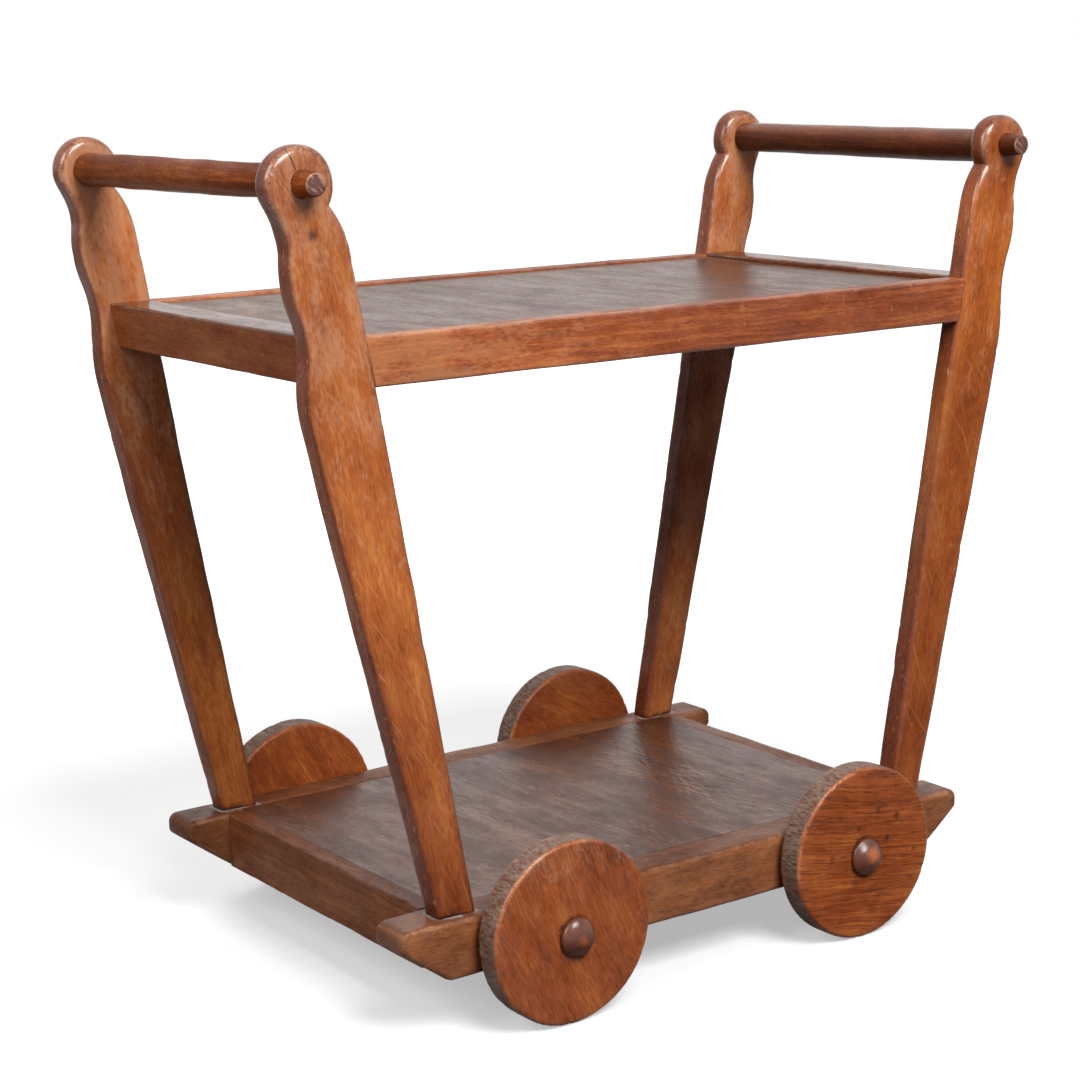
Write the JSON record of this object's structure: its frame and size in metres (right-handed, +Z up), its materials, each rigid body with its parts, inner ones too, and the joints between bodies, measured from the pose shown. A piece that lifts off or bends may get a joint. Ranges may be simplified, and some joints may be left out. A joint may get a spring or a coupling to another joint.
{
  "type": "serving trolley",
  "caption": "Wooden serving trolley: a low deck on turned wheels, leaning shaped legs, a shallow rimmed tray on top and a round handle bar at each end.",
  "frame": {"origin": "on the floor, under the middle of the deck", "axes": "+X along the trolley towards its right end, +Y across it away from the near side, +Z up"},
  "size_m": [0.797, 0.4988, 0.7293],
  "materials": {
    "oak_frame": "semi-gloss wax",
    "oak_panel": "semi-gloss wax",
    "oak_wheel": "semi-gloss wax",
    "oak_handle": "polished by hands",
    "oak_peg": "semi-gloss wax",
    "oak_spacer": "bare"
  },
  "bodies": {
    "frame": {"near_lower_rail": "oak_frame", "near_tray_apron": "oak_frame", "far_lower_rail": "oak_frame", "far_tray_apron": "oak_frame", "left_lower_apron": "oak_frame", "left_tray_end_rail": "oak_frame", "left_handle_bar": "oak_handle", "right_lower_apron": "oak_frame", "right_tray_end_rail": "oak_frame", "right_handle_bar": "oak_handle", "near_left_leg": "oak_frame", "near_left_axle_peg": "oak_peg", "near_left_spacer": "oak_spacer", "near_right_leg": "oak_frame", "near_right_axle_peg": "oak_peg", "near_right_spacer": "oak_spacer", "far_left_leg": "oak_frame", "far_left_axle_peg": "oak_peg", "far_left_spacer": "oak_spacer", "far_right_leg": "oak_frame", "far_right_axle_peg": "oak_peg", "far_right_spacer": "oak_spacer", "deck_panel": "oak_panel", "tray_panel": "oak_panel"},
    "near_left_wheel": {"near_left_wheel": "oak_wheel"},
    "near_right_wheel": {"near_right_wheel": "oak_wheel"},
    "far_left_wheel": {"far_left_wheel": "oak_wheel"},
    "far_right_wheel": {"far_right_wheel": "oak_wheel"}
  },
  "joints": [
    {"name": "near_left_wheel_spin", "type": "hinge", "parent": "frame", "child": "near_left_wheel", "pos_m": [-0.163, -0.2235, 0.08], "axis": [0, 1, 0], "continuous": true},
    {"name": "near_right_wheel_spin", "type": "hinge", "parent": "frame", "child": "near_right_wheel", "pos_m": [0.163, -0.2235, 0.08], "axis": [0, 1, 0], "continuous": true},
    {"name": "far_left_wheel_spin", "type": "hinge", "parent": "frame", "child": "far_left_wheel", "pos_m": [-0.163, 0.2235, 0.08], "axis": [0, 1, 0], "continuous": true},
    {"name": "far_right_wheel_spin", "type": "hinge", "parent": "frame", "child": "far_right_wheel", "pos_m": [0.163, 0.2235, 0.08], "axis": [0, 1, 0], "continuous": true}
  ]
}
